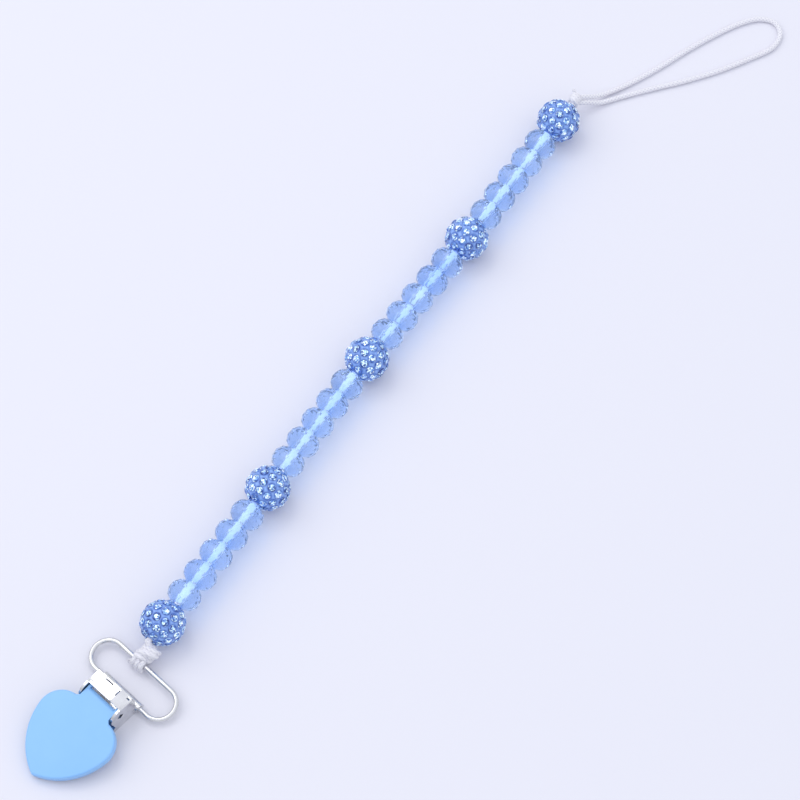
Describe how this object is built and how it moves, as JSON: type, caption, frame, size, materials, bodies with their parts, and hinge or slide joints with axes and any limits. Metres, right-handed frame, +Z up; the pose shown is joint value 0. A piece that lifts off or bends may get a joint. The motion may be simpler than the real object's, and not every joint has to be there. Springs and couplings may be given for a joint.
{
  "type": "beaded pacifier clip",
  "caption": "Pacifier holder strap: hinged heart-shaped clip, wire loop, strand of faceted crystal beads and stone-set ball beads on a cord, ending in a cord loop.",
  "frame": {"origin": "on the flat underside of the clip's back plate, straight below the cover's hinge axis", "axes": "+X from the clip along the strand, the heart's tip towards -X; +Y to the left seen along +X; +Z up, out of the heart cover's face"},
  "size_m": [0.2696, 0.0491, 0.0108],
  "materials": {
    "nickel": "bright nickel plate",
    "enamel": "satin light blue enamel on pressed steel",
    "insert": "milky moulded plastic",
    "cord": "white braided polyester cord",
    "clay": "periwinkle blue resin clay",
    "stone": "foil-backed sapphire blue glass stones",
    "crystal": "clear light sapphire cut glass"
  },
  "bodies": {
    "clip": {"clip_body": "nickel", "jaw_insert": "insert"},
    "cover": {"heart_cover": "enamel"},
    "loop": {"wire_loop": "nickel"},
    "hitch": {"cord_hitch": "cord"},
    "knot": {"clip_knot": "cord", "core_cord": "cord"},
    "ball_1": {"ball_1_clay": "clay", "ball_1_stones": "stone"},
    "crystal_01": {"crystal_01": "crystal"},
    "crystal_02": {"crystal_02": "crystal"},
    "crystal_03": {"crystal_03": "crystal"},
    "crystal_04": {"crystal_04": "crystal"},
    "crystal_05": {"crystal_05": "crystal"},
    "ball_2": {"ball_2_clay": "clay", "ball_2_stones": "stone"},
    "crystal_06": {"crystal_06": "crystal"},
    "crystal_07": {"crystal_07": "crystal"},
    "crystal_08": {"crystal_08": "crystal"},
    "crystal_09": {"crystal_09": "crystal"},
    "crystal_10": {"crystal_10": "crystal"},
    "ball_3": {"ball_3_clay": "clay", "ball_3_stones": "stone"},
    "crystal_11": {"crystal_11": "crystal"},
    "crystal_12": {"crystal_12": "crystal"},
    "crystal_13": {"crystal_13": "crystal"},
    "crystal_14": {"crystal_14": "crystal"},
    "crystal_15": {"crystal_15": "crystal"},
    "ball_4": {"ball_4_clay": "clay", "ball_4_stones": "stone"},
    "crystal_16": {"crystal_16": "crystal"},
    "crystal_17": {"crystal_17": "crystal"},
    "crystal_18": {"crystal_18": "crystal"},
    "crystal_19": {"crystal_19": "crystal"},
    "crystal_20": {"crystal_20": "crystal"},
    "ball_5": {"ball_5_clay": "clay", "ball_5_stones": "stone"},
    "tail": {"end_knot": "cord", "pacifier_loop": "cord"}
  },
  "joints": [
    {"name": "cover_hinge", "type": "hinge", "parent": "clip", "child": "cover", "pos_m": [0, 0, 0.0051], "axis": [0, 1, 0], "range_deg": [0, 50]},
    {"name": "loop_swing", "type": "hinge", "parent": "clip", "child": "loop", "pos_m": [0.0051, 0, 0.00125], "axis": [0, -1, 0], "range_deg": [0, 75]},
    {"name": "hitch_slide", "type": "slide", "parent": "loop", "child": "hitch", "axis": [0, 1, 0], "range_m": [-0.0084, 0.0041]},
    {"name": "knot_swing", "type": "hinge", "parent": "hitch", "child": "knot", "pos_m": [0.01287, 0.0024, 0.00196], "axis": [0, -1, 0], "range_deg": [0, 40], "deforming": ["core_cord"]},
    {"name": "ball_1_turn", "type": "hinge", "parent": "knot", "child": "ball_1", "pos_m": [0.0171, 0.00321, 0.0054], "axis": [0, 0, 1], "range_deg": [-9, 9]},
    {"name": "crystal_01_lift", "type": "hinge", "parent": "ball_1", "child": "crystal_01", "pos_m": [0.0275, 0.00499, 0.0054], "axis": [0.1685, -0.9857, 0], "range_deg": [-9, 9]},
    {"name": "crystal_02_turn", "type": "hinge", "parent": "crystal_01", "child": "crystal_02", "pos_m": [0.03351, 0.00602, 0.0054], "axis": [0, 0, 1], "range_deg": [-9, 9]},
    {"name": "crystal_03_lift", "type": "hinge", "parent": "crystal_02", "child": "crystal_03", "pos_m": [0.03952, 0.00704, 0.0054], "axis": [-0.1685, 0.9857, 0], "range_deg": [-9, 9]},
    {"name": "crystal_04_turn", "type": "hinge", "parent": "crystal_03", "child": "crystal_04", "pos_m": [0.04554, 0.00807, 0.0054], "axis": [0, 0, 1], "range_deg": [-9, 9]},
    {"name": "crystal_05_lift", "type": "hinge", "parent": "crystal_04", "child": "crystal_05", "pos_m": [0.05155, 0.0091, 0.0054], "axis": [0.1685, -0.9857, 0], "range_deg": [-9, 9]},
    {"name": "ball_2_turn", "type": "hinge", "parent": "crystal_05", "child": "ball_2", "pos_m": [0.05756, 0.01013, 0.0054], "axis": [0, 0, 1], "range_deg": [-9, 9]},
    {"name": "crystal_06_lift", "type": "hinge", "parent": "ball_2", "child": "crystal_06", "pos_m": [0.06795, 0.01197, 0.0054], "axis": [-0.1805, 0.9836, 0], "range_deg": [-9, 9]},
    {"name": "crystal_07_turn", "type": "hinge", "parent": "crystal_06", "child": "crystal_07", "pos_m": [0.07395, 0.01307, 0.0054], "axis": [0, 0, 1], "range_deg": [-9, 9]},
    {"name": "crystal_08_lift", "type": "hinge", "parent": "crystal_07", "child": "crystal_08", "pos_m": [0.07995, 0.01417, 0.0054], "axis": [0.1805, -0.9836, 0], "range_deg": [-9, 9]},
    {"name": "crystal_09_turn", "type": "hinge", "parent": "crystal_08", "child": "crystal_09", "pos_m": [0.08595, 0.01527, 0.0054], "axis": [0, 0, 1], "range_deg": [-9, 9]},
    {"name": "crystal_10_lift", "type": "hinge", "parent": "crystal_09", "child": "crystal_10", "pos_m": [0.09195, 0.01637, 0.0054], "axis": [-0.1805, 0.9836, 0], "range_deg": [-9, 9]},
    {"name": "ball_3_turn", "type": "hinge", "parent": "crystal_10", "child": "ball_3", "pos_m": [0.09795, 0.01748, 0.0054], "axis": [0, 0, 1], "range_deg": [-9, 9]},
    {"name": "crystal_11_lift", "type": "hinge", "parent": "ball_3", "child": "crystal_11", "pos_m": [0.10837, 0.01914, 0.0054], "axis": [0.1357, -0.9907, 0], "range_deg": [-9, 9]},
    {"name": "crystal_12_turn", "type": "hinge", "parent": "crystal_11", "child": "crystal_12", "pos_m": [0.11441, 0.01997, 0.0054], "axis": [0, 0, 1], "range_deg": [-9, 9]},
    {"name": "crystal_13_lift", "type": "hinge", "parent": "crystal_12", "child": "crystal_13", "pos_m": [0.12045, 0.0208, 0.0054], "axis": [-0.1357, 0.9907, 0], "range_deg": [-9, 9]},
    {"name": "crystal_14_turn", "type": "hinge", "parent": "crystal_13", "child": "crystal_14", "pos_m": [0.1265, 0.02163, 0.0054], "axis": [0, 0, 1], "range_deg": [-9, 9]},
    {"name": "crystal_15_lift", "type": "hinge", "parent": "crystal_14", "child": "crystal_15", "pos_m": [0.13254, 0.02245, 0.0054], "axis": [0.1357, -0.9907, 0], "range_deg": [-9, 9]},
    {"name": "ball_4_turn", "type": "hinge", "parent": "crystal_15", "child": "ball_4", "pos_m": [0.13858, 0.02328, 0.0054], "axis": [0, 0, 1], "range_deg": [-9, 9]},
    {"name": "crystal_16_lift", "type": "hinge", "parent": "ball_4", "child": "crystal_16", "pos_m": [0.149, 0.02491, 0.0054], "axis": [-0.1719, 0.9851, 0], "range_deg": [-9, 9]},
    {"name": "crystal_17_turn", "type": "hinge", "parent": "crystal_16", "child": "crystal_17", "pos_m": [0.15501, 0.02595, 0.0054], "axis": [0, 0, 1], "range_deg": [-9, 9]},
    {"name": "crystal_18_lift", "type": "hinge", "parent": "crystal_17", "child": "crystal_18", "pos_m": [0.16102, 0.027, 0.0054], "axis": [0.1719, -0.9851, 0], "range_deg": [-9, 9]},
    {"name": "crystal_19_turn", "type": "hinge", "parent": "crystal_18", "child": "crystal_19", "pos_m": [0.16703, 0.02805, 0.0054], "axis": [0, 0, 1], "range_deg": [-9, 9]},
    {"name": "crystal_20_lift", "type": "hinge", "parent": "crystal_19", "child": "crystal_20", "pos_m": [0.17304, 0.0291, 0.0054], "axis": [-0.1719, 0.9851, 0], "range_deg": [-9, 9]},
    {"name": "ball_5_turn", "type": "hinge", "parent": "crystal_20", "child": "ball_5", "pos_m": [0.17905, 0.03015, 0.0054], "axis": [0, 0, 1], "range_deg": [-9, 9]},
    {"name": "tail_lift", "type": "hinge", "parent": "ball_5", "child": "tail", "pos_m": [0.18949, 0.03197, 0.0054], "axis": [0.1719, -0.9851, 0], "range_deg": [-9, 9]}
  ]
}
